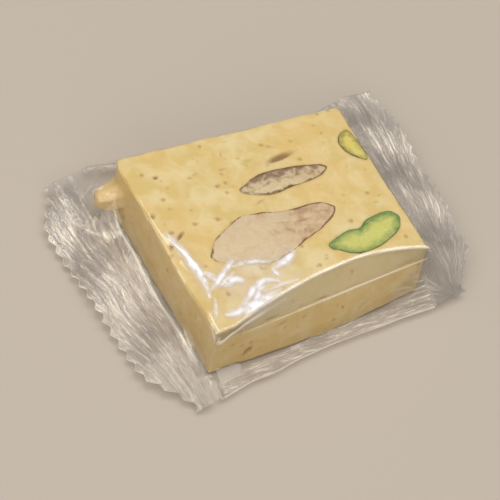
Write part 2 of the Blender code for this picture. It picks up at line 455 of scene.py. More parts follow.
def add_node(tree, kind, settings=None, inputs=None):
    """A node with its settings, and inputs that are values or sockets to link."""
    node = tree.nodes.new(kind)
    for (name, value) in (settings or {}).items():
        setattr(node, name, value)
    for (name, value) in (inputs or {}).items():
        if isinstance(value, bpy.types.NodeSocket):
            tree.links.new(value, node.inputs[name])
        else:
            node.inputs[name].default_value = value
    return node


def math(tree, operation, first, second=0.0, third=None, clamp=False):
    """One step of arithmetic on sockets or numbers."""
    inputs = {0: first, 1: second}
    if third is not None:
        inputs[2] = third
    node = add_node(tree, "ShaderNodeMath", {"operation": operation, "use_clamp": clamp}, inputs)
    return node.outputs[0]


def blend_colours(tree, share, first, second):
    """First colour where the share is 0, second where it is 1."""
    node = add_node(tree, "ShaderNodeMix", {"data_type": "RGBA"}, {"Factor": share})
    for (name, value) in (("A", first), ("B", second)):
        socket = next(s for s in node.inputs if s.name == name and s.type == "RGBA")
        if isinstance(value, bpy.types.NodeSocket):
            tree.links.new(value, socket)
        else:
            socket.default_value = value
    return next(s for s in node.outputs if s.type == "RGBA")


def read_mask(tree, name):
    """A number that the mesh holds for each point."""
    return add_node(tree, "ShaderNodeAttribute", {"attribute_name": name}).outputs["Fac"]


def spread(tree, value, low, high):
    """0 at the low value, 1 at the high one, and no more or less beyond."""
    node = add_node(tree, "ShaderNodeMapRange", {}, {"Value": value, "From Min": low, "From Max": high})
    return node.outputs[0]


def noise(tree, where, scale, detail, roughness, distortion=0.0):
    """Layered noise round a half, as a number."""
    return add_node(tree, "ShaderNodeTexNoise", {}, {
        "Vector": where, "Scale": scale, "Detail": detail, "Roughness": roughness,
        "Distortion": distortion}).outputs["Fac"]


def crumb_group():
    """Clouds and patches: two sizes of noise stretched to run from 0 to 1. Crumb: fine
    noise for a height."""
    group = bpy.data.node_groups.new("cut_crumb", "ShaderNodeTree")
    for (name, value) in (("Cloud Scale", 300.0), ("Crumb Scale", 3000.0)):
        socket = group.interface.new_socket(name, in_out="INPUT", socket_type="NodeSocketFloat")
        socket.default_value = value
    for name in ("Clouds", "Patches", "Crumb"):
        group.interface.new_socket(name, in_out="OUTPUT", socket_type="NodeSocketFloat")
    given = add_node(group, "NodeGroupInput").outputs
    result = add_node(group, "NodeGroupOutput").inputs
    where = add_node(group, "ShaderNodeTexCoord").outputs["Object"]
    shifted = add_node(group, "ShaderNodeMapping", {}, {"Vector": where, "Location": (0.3, 0.1, 0.7)})
    patch_scale = math(group, "MULTIPLY", given["Cloud Scale"], 0.42)
    clouds = noise(group, where, given["Cloud Scale"], 3.0, 0.5, 0.4)
    patches = noise(group, shifted.outputs[0], patch_scale, 2.5, 0.6)
    group.links.new(spread(group, clouds, 0.36, 0.64), result["Clouds"])
    group.links.new(spread(group, patches, 0.42, 0.66), result["Patches"])
    group.links.new(noise(group, where, given["Crumb Scale"], 2.0, 0.6), result["Crumb"])
    return group


def cut_crumb(tree, cloud_scale, crumb_scale):
    """The clouds, the patches and the crumb of a cut face, at two scales."""
    return add_node(tree, "ShaderNodeGroup", {"node_tree": crumb_nodes}, {
        "Cloud Scale": cloud_scale, "Crumb Scale": crumb_scale}).outputs


def plain_material(name, roughness):
    """A material with its Principled shader, to be filled in."""
    material = bpy.data.materials.new(name)
    material.use_nodes = True
    shader = material.node_tree.nodes["Principled BSDF"]
    shader.inputs["Roughness"].default_value = roughness
    return material, material.node_tree, shader


def crumb_bump(tree, shader, height, distance, strength):
    """Fine relief from a height, as the shader's normal."""
    bump = add_node(tree, "ShaderNodeBump", {}, {
        "Height": height, "Distance": distance, "Strength": strength})
    tree.links.new(bump.outputs["Normal"], shader.inputs["Normal"])


crumb_nodes = crumb_group()
nougat, tree, shader = plain_material("nougat_gold", 0.62)
shader.inputs["Subsurface Weight"].default_value = 0.12
shader.inputs["Subsurface Radius"].default_value = (0.9, 0.6, 0.3)
shader.inputs["Subsurface Scale"].default_value = 0.8 * mm
crumb = cut_crumb(tree, 300.0, 2600.0)
where = add_node(tree, "ShaderNodeTexCoord").outputs["Object"]
gold = blend_colours(tree, crumb["Clouds"], srgb(218, 191, 120), srgb(229, 209, 154))
patchy = math(tree, "MULTIPLY", crumb["Patches"], 0.5)
gold = blend_colours(tree, patchy, gold, srgb(223, 186, 106))
flecks = add_node(tree, "ShaderNodeTexVoronoi", {}, {"Vector": where, "Scale": 520.0})
fleck = math(tree, "MULTIPLY", spread(tree, flecks.outputs["Distance"], 0.26, 0.12),
             spread(tree, flecks.outputs["Color"], 0.60, 0.64))
gold = blend_colours(tree, math(tree, "MULTIPLY", fleck, 0.6), gold, srgb(176, 130, 70))
# Tones over the gold. Painted shade darkens the upright faces, the shoulder facet, the nougat round the
# nuts and the dents; the torn edges, the lump and the pistachio crumbs have tones of their own.
for (mask, strength, tone) in (
        ("upright_shade", 0.3, srgb(198, 162, 104)), ("shoulder_shade", 0.8, srgb(182, 164, 124)),
        ("nut_dip_and_shade", 0.30, srgb(204, 166, 106)), ("torn", 0.35, srgb(196, 150, 86)),
        ("lump", 0.7, srgb(232, 200, 140)), ("greened", 0.7, srgb(190, 176, 76)),
        ("dent_shade", 0.85, srgb(132, 92, 48))):
    gold = blend_colours(tree, math(tree, "MULTIPLY", read_mask(tree, mask), strength), gold, tone)
tree.links.new(gold, shader.inputs["Base Color"])
crumb_bump(tree, shader, crumb["Crumb"], 0.06 * mm, 0.5)
slab.data.materials.append(nougat)
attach(slab, "root")


# The almonds and pistachios
# Whole kernels cooked into the nougat and sliced with it. Each shows a flat cut face
# with a crisp thin skin round it: brown on an almond, dark green on a pistachio.
nut_rings = 26
nut_thickness = 1.1 * mm
nut_rim = 0.09 * mm
nut_grain_depth, nut_swell_depth, nut_proud = 0.07 * mm, 0.14 * mm, 0.03 * mm
nut_crease_depth = nut_crease_width = 0.16 * mm
nut_wobble = {"almond": 0.06, "pistachio": 0.03}
# Creases across the cut faces, in the same measures as the outlines
nut_creases = {
    "pistachio_green": [(12.0, -7.2), (10.6, -8.6), (9.6, -10.4), (8.4, -11.2)],
    "almond_large": [(-1.5, -2.2), (2.4, -3.2), (6.6, -3.0)],
    "almond_dark": [(-1.5, 4.6), (3.0, 5.2), (8.6, 5.0)],
    "almond_under": [(-11.0, 2.0), (-5.0, 4.4), (0.0, 6.8)],
    "pistachio_under": [(7.2, 6.0), (8.4, 9.6)],
}


def nut_mesh(name, face, corners, wobble, seed):
    """A cut nut as a surface of revolution pulled to an outline: rings shrink from
    the outline to its middle on the cut face, and drop straight down at the wall."""
    outline = smooth_outline(corners, outline_points)
    middle = outline.mean(axis=0)
    angle = np.linspace(0.0, 2 * np.pi, outline_points, endpoint=False)
    circle = np.column_stack([np.cos(angle), np.sin(angle), 0 * angle])
    ragged = 1.0 + wobble * soft_hills(circle, 0.16, seed)
    outline = middle + (outline - middle) * ragged[:, None]
    inward = np.linspace(0.0, 1.0, nut_rings) ** 0.8
    share = np.concatenate([inward, [1.0, 1.0, 1.0], inward[::-1]])
    depth = np.concatenate([0 * inward, [nut_rim, nut_thickness / 2, nut_thickness - nut_rim],
                            0 * inward + nut_thickness])
    shrink = 0 * share
    shrink[nut_rings - 1] = nut_rim
    shrink[nut_rings + 3] = nut_rim
    reach = np.linalg.norm(outline - middle, axis=1)
    radial = share[:, None] - shrink[:, None] / reach
    flat = middle + radial[..., None] * (outline - middle)
    along, up = flat[..., 0], flat[..., 1]
    deep = np.repeat(depth[:, None], outline_points, axis=1)
    cut_face = np.arange(len(share)) < nut_rings
    level = np.stack([along, up, 0 * up], -1)
    relief = nut_grain_depth * soft_hills(level, 0.5 * mm, seed + 1)
    relief = relief + nut_swell_depth * soft_hills(level, 2.4 * mm, seed + 2) - nut_proud
    if name in nut_creases:
        crease = np.array(nut_creases[name]) * mm
        gap = distance_to(flat.reshape(-1, 2), crease[:-1], crease[1:]).reshape(relief.shape)
        relief = relief + nut_crease_depth * bell(gap, nut_crease_width)
    deep = deep + cut_face[:, None] * relief * share[:, None] ** 0.3
    points = face_plane(face, along, up, deep)
    ring = np.arange(outline_points)
    after = np.roll(ring, -1)
    rows = np.arange(len(share) - 1)[:, None] * outline_points
    quads = np.stack([rows + ring, rows + after, rows + outline_points + after,
                      rows + outline_points + ring], -1).reshape(-1, 4)
    from_edge = np.clip(depth_inside(flat.reshape(-1, 2), outline), 0.0, None)
    from_edge[np.repeat(~cut_face, outline_points)] = 0.0
    spans = (flat - middle) / np.abs(outline - middle).max(axis=0) * 0.5 + 0.5
    return new_piece(name, points.reshape(-1, 3), quads, {
        "from_edge": from_edge / mm, "upper": spans[..., 1].reshape(-1),
        "lengthwise": spans[..., 0].reshape(-1)})


def skin_mask(tree, width, crumb, faintest):
    """1 on the skin and 0 past its width. The crumb makes its edge ragged, and the
    patches thin it and let it fade to the faintest share, as a torn skin does."""
    patchy = math(tree, "MULTIPLY_ADD", crumb["Patches"], 0.9, 0.35)
    ragged = math(tree, "MULTIPLY", math(tree, "MULTIPLY", crumb["Crumb"], 2.0 * width), patchy)
    passed = math(tree, "DIVIDE", read_mask(tree, "from_edge"), ragged)
    within = math(tree, "SUBTRACT", 1.0, passed)
    patchy = math(tree, "MULTIPLY_ADD", read_mask(tree, "lengthwise"), 0.7, crumb["Patches"])
    strength = math(tree, "MULTIPLY_ADD", spread(tree, patchy, 0.25, 0.85), 1.0 - faintest, faintest)
    return math(tree, "MULTIPLY", spread(tree, within, 0.0, 0.45), strength)


def almond_material(name, pale, cream, skin, skin_width, upper_darkening_share):
    """Cream flesh, grainy and pinker towards one end, under a brown skin. The flesh on the
    upper side turns darker brown by the share given."""
    material, tree, shader = plain_material(name, 0.5)
    crumb = cut_crumb(tree, 800.0, 4200.0)
    flesh = blend_colours(tree, crumb["Clouds"], pale, cream)
    grainy = math(tree, "MULTIPLY_ADD", crumb["Patches"], 0.3, read_mask(tree, "lengthwise"))
    grainy = math(tree, "MULTIPLY", spread(tree, grainy, 0.55, 0.85), crumb["Clouds"])
    flesh = blend_colours(tree, math(tree, "MULTIPLY", grainy, 0.85), flesh, srgb(178, 138, 98))
    upper_darkening = math(tree, "MULTIPLY_ADD", crumb["Clouds"], 0.5, read_mask(tree, "upper"))
    upper_darkening = math(tree, "MULTIPLY", spread(tree, upper_darkening, 0.66, 1.12), upper_darkening_share)
    flesh = blend_colours(tree, upper_darkening, flesh, srgb(142, 112, 86))
    colour = blend_colours(tree, skin_mask(tree, skin_width, crumb, 0.25), flesh, skin)
    tree.links.new(colour, shader.inputs["Base Color"])
    crumb_bump(tree, shader, crumb["Crumb"], 0.08 * mm, 0.6)
    return material


def pistachio_material(name, middle, rim, skin, rim_width):
    """Lime flesh that turns deep green towards the rim, with a very thin skin."""
    material, tree, shader = plain_material(name, 0.42)
    crumb = cut_crumb(tree, 1000.0, 4200.0)
    toward = math(tree, "MULTIPLY_ADD", crumb["Clouds"], -0.5, read_mask(tree, "from_edge"))
    toward = math(tree, "MULTIPLY_ADD", read_mask(tree, "upper"), -0.6, toward)
    flesh = blend_colours(tree, spread(tree, toward, -0.45, rim_width), rim, middle)
    yellowed = math(tree, "MULTIPLY", crumb["Patches"], 0.3)
    flesh = blend_colours(tree, yellowed, flesh, srgb(212, 200, 120))
    colour = blend_colours(tree, skin_mask(tree, 0.16, crumb, 0.5), flesh, skin)
    tree.links.new(colour, shader.inputs["Base Color"])
    crumb_bump(tree, shader, crumb["Crumb"], 0.06 * mm, 0.5)
    return material


almond_pale = almond_material(
    "almond_cream", srgb(212, 187, 146), srgb(222, 201, 164), srgb(130, 94, 46),
    skin_width=0.32, upper_darkening_share=0.1)
almond_browned = almond_material(
    "almond_browned", srgb(206, 184, 144), srgb(222, 204, 158), srgb(120, 86, 48),
    skin_width=0.60, upper_darkening_share=1.0)
pistachio_lime = pistachio_material(
    "pistachio_lime", srgb(204, 204, 108), srgb(104, 136, 66), srgb(74, 98, 48), rim_width=1.0)
pistachio_olive = pistachio_material(
    "pistachio_olive", srgb(220, 202, 104), srgb(158, 146, 62), srgb(98, 88, 42), rim_width=0.5)
looks = {
    "almond": almond_pale, "almond_dark": almond_browned, "almond_under_small": almond_browned,
    "pistachio": pistachio_lime, "pistachio_corner": pistachio_olive,
    "pistachio_back": pistachio_olive,
}
for (number, (name, (face, corners))) in enumerate(cut_nuts.items()):
    kind = name.split("_")[0]
    nut = nut_mesh(name, face, corners, nut_wobble[kind], 40 + 5 * number)
    nut.data.materials.append(looks.get(name, looks[kind]))
    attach(nut, "root")


# The film
# Clear plastic film, a twentieth of a millimetre thick, drawn round the slab as a
# tube. It lies tight on the top, stands out in a low fold along the front and the
# back, and slopes down at the ends to ribbed, zigzag-cut crimps. It is one closed
# skin, because its thickness wouldn't show.
fold_height = 1.05 * mm
fold_reach_middle = 4.4 * mm
fold_reach_ends = 5.6 * mm
floor_edge_inset = 0.6 * mm
top_edge_radius = 0.9 * mm
seal_start = (5.0 * mm, 5.2 * mm)
seal_width = (6.0 * mm, 6.4 * mm)
seal_slant = (0.07, 0.08)
seal_front = (-24.0 * mm, -20.2 * mm)
seal_back = (21.8 * mm, 21.2 * mm)
seal_height = (1.9 * mm, 3.9 * mm)
seal_droop = (0.5 * mm, 0.9 * mm)
seal_tip_drop = (0.3 * mm, 1.6 * mm)
seal_wave = (0.35 * mm, 0.45 * mm)
seal_wave_length = (17.0 * mm, 14.0 * mm)
front_corner_cut = (5.0 * mm, 4.4 * mm)
front_cut_length = (9.0 * mm, 8.0 * mm)
back_corner_cut = (4.4 * mm, 1.6 * mm)
back_cut_length = (9.0 * mm, 6.0 * mm)
cling = (2.3, 1.5)
cling_from = (0.10, 0.10)
cling_to = (0.80, 0.90)
seal_gap = 0.12 * mm
teeth = 19
tooth_depth = 0.45 * mm
rib_height = 0.05 * mm
rib_spacing = 0.11
ribs_from, ribs_to, rib_fade = 0.38, 0.90, 0.05
crowding = 0.35
top_counts = np.array([14, 14, 14, 90, 6, 6, 8])
floor_counts = np.array([34, 96, 22])
run_weights = np.array([4, 4, 3, 54, 3, 4, 4])
across_count = int(top_counts.sum()) + 1
block_stations, slope_stations, crimp_stations = 180, 26, 32


def crowd(share):
    """Shares from 0 to 1, set closer together near 0."""
    return share + crowding * (share ** 2 - share)


def run_stops(counts):
    """Run number and share of the points of a section, even on each run but for the
    longest, where they crowd towards the front."""
    stops = []
    for (run, count) in enumerate(counts):
        share = np.arange(count) / count
        stops.append(run + (crowd(share) if count == max(counts) else share))
    return np.concatenate(stops + [[len(counts)]])


def along_corners(corners, counts):
    """Points on the straight runs between the corners of each section."""
    turn = run_stops(counts)
    start = np.minimum(np.floor(turn).astype(int), len(counts) - 1)
    share = (turn - start)[None, :, None]
    return corners[:, start] + (corners[:, start + 1] - corners[:, start]) * share


# Where each point of a section goes on a crimp, as a share of the crimp's length
run_ends = np.concatenate([[0], np.cumsum(run_weights)]) / run_weights.sum()
across_share = np.interp(run_stops(top_counts), np.arange(len(run_ends)), run_ends)


def soften(points, times):
    """Rounds the corners across each section: every inner point moves halfway to
    the middle of its two neighbours, as many times as asked."""
    for _ in range(times):
        points[:, 1:-1] = 0.5 * points[:, 1:-1] + 0.25 * (points[:, :-2] + points[:, 2:])
    return points


def block_film(share):
    """Top and floor film round the block, at shares of its half length: straight
    runs from fold to fold over the faces, softened, lowered at the two end edges."""
    x = share * half_length
    front, back = -width_at(x) / 2, width_at(x) / 2
    fold = fold_reach_middle + (fold_reach_ends - fold_reach_middle) * share ** 2
    line = np.column_stack([x, 0 * x, 0 * x])
    front_fold = fold + 0.5 * mm * (soft_hills(line, 5.0 * mm, 61) - 0.5)
    back_fold = fold + 0.7 * mm * (soft_hills(line, 6.0 * mm, 62) - 0.5)
    slope = shoulder_slope(x)
    flat = 0 * x
    half_gap = seal_gap / 2
    top = np.stack([np.stack(pair, -1) for pair in (
        (front - front_fold, flat + fold_height + half_gap),
        (front - foot_lean(x, foot_top), flat + foot_top),
        (front, flat + wrapped_height - shoulder_drop),
        (front + slope, flat + wrapped_height),
        (back - top_edge_radius, flat + wrapped_height),
        (back, flat + wrapped_height - top_edge_radius),
        (back, flat + foot_top),
        (back + back_fold, flat + fold_height + half_gap))], axis=1)
    floor = np.stack([np.stack(pair, -1) for pair in (
        (front - front_fold, flat + fold_height - half_gap),
        (front - foot_lean(x, 0.0) + floor_edge_inset, flat),
        (back - floor_edge_inset, flat),
        (back + back_fold, flat + fold_height - half_gap))], axis=1)
    top = soften(along_corners(top, top_counts), 4)
    floor = along_corners(floor, floor_counts)
    from_end = half_length - np.abs(x)[:, None]
    edge = clamped(1.0 - from_end / top_edge_radius)
    lowered = top_edge_radius * (1.0 - np.sqrt(1.0 - edge ** 2))
    lowered = lowered + (x < 0)[:, None] * worn_away(top[..., 0], from_end, top_edge_radius)
    top[..., 1] = np.minimum(top[..., 1], wrapped_height - lowered)
    skew = np.clip(share, 0.0, None)[:, None] * right_end_skew
    return [np.concatenate([(x[:, None] + skew * part[..., 0])[..., None], part], -1)
            for part in (top, floor)]


def crimp_film(side, share):
    """Top and floor film of a crimp, at shares of its width: flat, gently waved,
    with ribs along its outer part, a toothed cut edge and trimmed corners."""
    y = seal_front[side] + (seal_back[side] - seal_front[side]) * across_share
    front_corner = fade(0.0, front_cut_length[side], y - seal_front[side])
    back_corner = fade(0.0, back_cut_length[side], seal_back[side] - y)
    reach = (seal_width[side] - front_corner_cut[side] * front_corner
             - back_corner_cut[side] * back_corner)
    phase = across_share * teeth % 1.0
    tooth = 4.0 * np.abs(phase - 0.5) - 1.0
    share = share[:, None]
    ribbed = s_curve(ribs_from - rib_fade, ribs_from, share) * fade(ribs_to, ribs_to + rib_fade, share)
    distance = seal_start[side] + seal_slant[side] * y + reach * share
    distance = distance + tooth_depth * tooth * s_curve(0.86, 1.0, share)
    x = (-1, 1)[side] * (half_length + distance)
    wave = np.sin(2 * np.pi * y / seal_wave_length[side] + 2.0 * share + side)
    z = (seal_height[side] - seal_droop[side] * share - seal_tip_drop[side] * front_corner
         + seal_wave[side] * wave + rib_height * ribbed * np.cos(2 * np.pi * share / rib_spacing))
    y = y + 0 * share
    return [np.stack([x, y, z + seal_gap / 2], -1), np.stack([x, y, z - seal_gap / 2], -1)]


def film_sheets():
    """All sections from the left cut edge to the right one, with a place along the
    film for each: below 1 on a crimp, 1 to 2 on a slope and 2 on the block."""
    rounding = np.linspace(0.0, 1.0, 6)[:-1] ** 1.5 * 0.04
    inner = 0.04 + 0.92 * crowd(np.linspace(0.0, 1.0, block_stations))
    block_share = 2.0 * np.concatenate([rounding, inner, 1.0 - rounding[::-1]]) - 1.0
    block = block_film(block_share)
    crimp_share = np.linspace(0.0, 1.0, crimp_stations)
    slope_share = np.linspace(0.0, 1.0, slope_stations + 2)[1:-1]
    parts = {0: [], 1: []}
    for side in (0, 1):
        seal = crimp_film(side, crimp_share)
        clings = fade(cling_to[side] - 0.12, cling_to[side], across_share)
        clings = 1.0 + (cling[side] - 1.0) * clings * s_curve(0.0, cling_from[side], across_share)
        rows = slope_share[:, None]
        out, down = rows ** clings, 1.0 - (1.0 - rows) ** clings
        top_shares = np.stack([out, out, down], axis=-1)
        for (sheet, shares) in ((0, top_shares), (1, rows[:, :, None])):
            end = block[sheet][0 if side == 0 else -1]
            slope = end + (seal[sheet][0] - end) * shares
            parts[side].append(np.concatenate([slope, seal[sheet]]))
    sheets = [np.concatenate([parts[0][sheet][::-1], block[sheet], parts[1][sheet]])
              for sheet in (0, 1)]
    end_place = np.concatenate([2.0 - slope_share, 1.0 - crimp_share])
    place = np.concatenate([end_place[::-1], 2.0 + 0 * block_share, end_place])
    return sheets, place


def outward_normals(sheet):
    """Unit normals of a grid, from the cross product of its two directions."""
    normal = np.cross(np.gradient(sheet, axis=0), np.gradient(sheet, axis=1))
    return normal / (np.linalg.norm(normal, axis=-1)[..., None] + 1e-12)


def sharp_ridges(places, grain, seed):
    """Creases: hills folded about their middle height, so that they meet in ridges."""
    return 1.0 - np.abs(2.0 * soft_hills(places, grain, seed) - 1.0)


(top_film, floor_film), place = film_sheets()
place = place[:, None]
by_lump = lump_at(top_film)
film_past_lump = lump_reach * 1.05 + 0.2 * mm
clear_of_lump = -half_length - film_past_lump * by_lump
round_lump = (top_film[..., 0] < -half_length + 0.5 * mm) & (top_film[..., 0] > clear_of_lump)
top_film[..., 0] = np.where(round_lump, clear_of_lump, top_film[..., 0])
on_crimp = fade(0.9, 1.15, place)
on_slope = s_curve(1.0, 1.3, place) * fade(1.75, 2.0, place)
x, y, z = (top_film[..., axis] for axis in range(3))
floor_z = floor_film[..., 2]

# Pleats where the film is bunched. Each end's pleats run towards one point: on the
# left beyond the front tip, on the right the knot beside the block's corner.
on_left = x < 0
pleats_meet = (np.array((-22.5, -34.0)) * mm, np.array((24.5, -20.5)) * mm)
mean_distance = 26.0 * mm
# Height, stretch, grain and seed of the fine pleats and of the wide ones
pleat_sizes = [(0.24 * mm, 0.10, 0.8 * mm, 71), (0.20 * mm, 0.25, 2.3 * mm, 72)]
offset = top_film[..., :2] - np.where(on_left[..., None], *pleats_meet)
from_meeting = np.linalg.norm(offset, axis=-1)
fan = np.arctan2(offset[..., 1], offset[..., 0]) * mean_distance
fan = fan + 1.0 * mm * (soft_hills(top_film, 4.5 * mm, 78) - 0.5)
on_block = s_curve(1.90, 1.96, place)
pleat_across = fan + (y - fan) * on_block
pleat_along = from_meeting + (x - from_meeting) * on_block
bunch_from = np.where(on_left, 1.70, 1.97)
bunch_full = np.where(on_left, 1.30, 1.70)
smooth_by_lump = 1.0 - 0.9 * s_curve(0.02, 0.3, by_lump) * on_slope
bunched = fade(bunch_full, bunch_from, place) * smooth_by_lump
ribbed_zone = fade(0.55, 0.7, place) * on_crimp
shared = 0 * x
for (rise, stretch, grain, seed) in pleat_sizes:
    ridges = sharp_ridges(np.stack([fan, stretch * from_meeting, 0 * x], -1), grain, seed)
    shared = shared + rise * (ridges - 0.5)
shared = shared * bunched * (1.0 - 0.5 * ribbed_zone)
run_length = np.linalg.norm(np.diff(top_film, axis=1), axis=-1)
from_front = np.concatenate([0 * x[:, :1], np.cumsum(run_length, axis=1)], axis=1)
from_ridge = np.minimum(from_front, from_front[:, -1:] - from_front)
shared = shared * (0.3 + 0.7 * s_curve(0.0, 1.2 * mm, from_ridge))
z += shared
floor_z += shared * s_curve(0.0, 0.6 * mm, floor_z)

# The film over the top has a faint quilting, and by the front left corner low folds
# whose backs carry a painted highlight, white with a faint halo, in place of the lamps'
# glare. Each is a low ridge with a width in millimetres, a strength of its painted
# highlight and a line in millimetres, and it tapers towards both ends.
fold_ridge, fold_back, fold_halo, halo_glare = 0.16, 1.25, 3.0, 0.24
folds = [
    (0.42, 0.80, [(-18.9, 1.7), (-18.3, 0.3), (-17.9, -2.0), (-17.6, -4.5), (-17.3, -6.4),
                  (-17.3, -8.4), (-17.9, -11.6)]),
    (0.34, 0.95, [(-17.4, -10.3), (-15.8, -9.6), (-13.4, -7.9), (-11.3, -6.6)]),
    (0.30, 0.80, [(-15.6, -10.3), (-13.8, -9.4), (-12.3, -8.7)]),
    (0.32, 0.70, [(-17.3, -6.6), (-16.0, -8.2), (-15.1, -9.9)]),
    (0.24, 0.60, [(-16.6, -6.9), (-15.2, -8.4)]),
    (0.62, 0.85, [(-14.8, -10.3), (-13.2, -9.9), (-11.4, -10.4)]),
    (0.26, 0.75, [(-12.2, -7.8), (-10.6, -7.6), (-9.0, -7.8), (-7.2, -8.4), (-5.6, -9.1)]),
    (0.46, 1.00, [(-6.4, -10.3), (-4.6, -9.8), (-3.0, -9.2), (-1.4, -8.3)]),
    (0.30, 0.75, [(-6.4, -9.9), (-6.0, -12.0)]),
    (0.44, 0.90, [(-14.4, -14.8), (-12.6, -13.8), (-10.8, -12.4), (-9.0, -11.7), (-7.8, -11.8),
                  (-6.4, -12.5)]),
    (0.40, 0.85, [(-12.4, -14.6), (-11.0, -13.9), (-10.2, -12.8), (-9.0, -12.6)]),
    (0.30, 0.60, [(-10.6, -12.4), (-9.0, -13.9)]),
    (0.55, 1.00, [(-17.2, -15.2), (-15.4, -15.5), (-12.6, -15.2), (-10.0, -14.6), (-7.2, -14.0)]),
    (0.24, 0.55, [(-18.9, -15.4), (-18.0, -13.4), (-17.2, -11.8)]),
    (0.26, 0.50, [(-9.4, -13.6), (-6.6, -13.2), (-3.2, -13.3)]),
]
# By the corner the shoulder's crease forks and meets the lower crease in a V, painted white as a
# highlight
corner_fold = [(-19.9, -16.2, 10.0), (-20.1, -17.5, 9.3), (-19.6, -17.9, 8.2), (-18.9, -17.9, 7.5),
               (-17.2, -17.6, 8.6), (-15.0, -17.1, 9.2), (-10.0, -16.1, 9.4), (-6.8, -15.4, 9.4)]
fork_width = 0.36 * mm
near_front = (np.abs(x + 9.0 * mm) < 12.0 * mm) & (np.abs(y + 7.5 * mm) < 11.0 * mm)
flat_places = np.stack([x[near_front], y[near_front]], -1)
flat_places = flat_places + 0.3 * mm * (soft_hills(top_film[near_front], 0.9 * mm, 79)[:, None] - 0.5)
painted_glare, fold_rise = np.zeros(x.shape), np.zeros(x.shape)
for (width, white, line) in folds:
    corners = np.array(line) * mm
    gap = distance_to(flat_places, corners[:-1], corners[1:])
    chord = corners[-1] - corners[0]
    along = (flat_places - corners[0]) @ chord / (chord @ chord)
    tapered = np.sqrt(arch(along, 0.5, 0.56)) + 1e-3
    back = bell(gap, fold_back * width * mm * tapered) * tapered
    halo = bell(gap, fold_halo * width * mm) * tapered
    fold_rise[near_front] = np.maximum(fold_rise[near_front], fold_ridge * width * mm * back)
    painted_glare[near_front] = np.maximum(painted_glare[near_front], white * (back + halo_glare * halo))
by_corner = np.exp(-(((x + 10.0 * mm) / (7.5 * mm)) ** 2 + ((y + 11.5 * mm) / (4.4 * mm)) ** 2) ** 1.5)
turned_places = np.stack([0.30 * (0.96 * x + 0.26 * y), 0.96 * y - 0.26 * x, 0 * x], -1)
ripples = sharp_ridges(turned_places, 2.0 * mm, 76)
quilt = 0.03 * mm * (soft_hills(top_film, 7.0 * mm, 74) - 0.5)
quilt = quilt + 0.008 * mm * (soft_hills(top_film, 2.0 * mm, 75) - 0.5)
on_top = (quilt + fold_rise + 0.08 * mm * (ripples - 0.7) * by_corner) * s_curve(1.9, 2.0, place)

# Loose pleats down the ends, and short ones that run out into the long folds
pleats = soft_hills(top_film * (0.25, 1.0, 0.25), 1.6 * mm, 73) - 0.5
loose = 0.30 * mm * pleats * on_slope * np.where(on_left, 0.4, 1.0)
below = fade(fold_height, foot_top, z)
fold_pleats = soft_hills(top_film * (1.0, 0.2, 0.2), 1.3 * mm, 77) - 0.5
fold_pleats = fold_pleats * below * 0.34 * mm * (1.0 - 0.75 * s_curve(-17.0 * mm, -10.0 * mm, x))
height = loose + on_top + fold_pleats * s_curve(1.2, 2.0, place)
height[:, 0] = 0.0
height[:, -1] = 0.0
top_film += outward_normals(top_film) * height[..., None]

# How milky each place is: the crimps, the end slopes, the pinched long folds and the
# gathered gusset by the front right corner. Thin lines where the film is creased are
# painted white as highlights: along the shoulder's two edges, on the left a little way
# out from the block, along the front fold's ridge and along the cut edge
crimp_milk, band_milk, right_milk = 0.44, 0.08, 0.12
slope_milk, pinched_milk, gusset_milk, veil_milk, lap_milk = 0.06, 0.55, 0.54, 0.38, 0.35
uneven = 0.5 * mm * (soft_hills(top_film, 3.0 * mm, 80) - 0.5)
pinched = fade(1.9 * mm, 2.5 * mm, from_ridge + uneven) * s_curve(1.8, 2.0, place)
gusset = (1.0 - on_left) * fade(0.16, 0.34, across_share[None, :]) * fade(1.75, 2.0, place)
seal_band = s_curve(0.0, 0.25, place) * fade(0.75, 1.1, place)
over_front = (y < 0) & (z < 9.5 * mm)
veil = fade(-1.6 * mm, 1.0 * mm, z - 0.8 * mm - 0.8 * (x - 10.5 * mm))
veil = veil_milk * veil * over_front * s_curve(8.0 * mm, 13.0 * mm, x)
milk = (crimp_milk + band_milk * seal_band + right_milk * (1.0 - on_left)) * bunched
for patch in (slope_milk * on_slope, pinched_milk * pinched, gusset_milk * gusset, veil):
    milk = np.maximum(milk, patch)
crease_highlight = 0.45 * fade(0.0, 0.03, place)
faint_left = s_curve(-24.0 * mm, 4.0 * mm, x)
lower_crease, upper_crease = from_front[:, top_counts[:2].sum()], from_front[:, top_counts[:3].sum()]
for (line, strength, width) in (
        (lower_crease, 0.75 * faint_left, 0.11), (upper_crease, 0.4 + 0.55 * faint_left, 0.23),
        (0 * lower_crease, 0.8, 0.15)):
    gap = from_front - line[:, None]
    crease_highlight = np.maximum(crease_highlight, strength * bell(gap, width * mm) * on_block)
fork = np.array(corner_fold) * mm
near_corner = (x < -6.0 * mm) & (y < -14.0 * mm)
fork_gap = distance_to(top_film[near_corner], fork[:-1], fork[1:])
fork_white = 1.0 - 0.75 * s_curve(-17.0 * mm, -7.0 * mm, x[near_corner])
crease_highlight[near_corner] = np.maximum(crease_highlight[near_corner], fork_white * bell(fork_gap, fork_width))
# The painted glare on the folds is broken up by noise, and a faint painted haze of glare lies over the
# corner.
broken = 0.65 + 0.35 * s_curve(0.30, 0.60, soft_hills(top_film, 0.7 * mm, 81))
glare_haze = 0.06 + 0.30 * soft_hills(top_film, 1.6 * mm, 82)
painted_glare = np.maximum(painted_glare * broken, glare_haze * by_corner) * on_block
inner_line = 0.7 * bell(x + half_length + 1.6 * mm, 0.16 * mm)
inner_line = inner_line * s_curve(-19.0 * mm, -15.0 * mm, y) * fade(9.0 * mm, 13.0 * mm, y)
crease_highlight = np.maximum(crease_highlight, inner_line)
crinkly = np.maximum(bunched, 0.15 * pinched)

